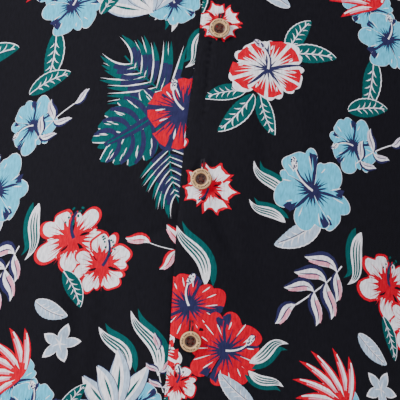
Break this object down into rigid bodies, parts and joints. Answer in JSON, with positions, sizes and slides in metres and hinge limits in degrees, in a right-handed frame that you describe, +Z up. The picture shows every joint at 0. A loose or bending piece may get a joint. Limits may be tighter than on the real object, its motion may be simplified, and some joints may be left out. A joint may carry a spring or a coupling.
{
  "type": "hawaiian shirt",
  "caption": "Short-sleeved camp-collar shirt in printed cloth, buttoned up the front, hollow as if worn, open at neck, cuffs and hem.",
  "frame": {"origin": "midway between the shoulders, level with the inner ends of the shoulder seams, where the wearer holds the shirt up", "axes": "+X to the wearer's left, -Y out of the chest, +Z up"},
  "size_m": [0.7648, 0.3036, 0.6929],
  "materials": {
    "printed_cloth": "matte woven rayon with a multicolour flower print",
    "coconut_wood": "satin, turned"
  },
  "bodies": {
    "root": {"back": "printed_cloth", "front_left": "printed_cloth", "front_right": "printed_cloth", "facing_left": "printed_cloth", "facing_right": "printed_cloth", "collar": "printed_cloth", "sleeve_left": "printed_cloth", "sleeve_right": "printed_cloth", "button_1": "coconut_wood", "button_2": "coconut_wood", "button_3": "coconut_wood", "button_4": "coconut_wood", "button_5": "coconut_wood", "button_6": "coconut_wood"}
  },
  "joints": []
}
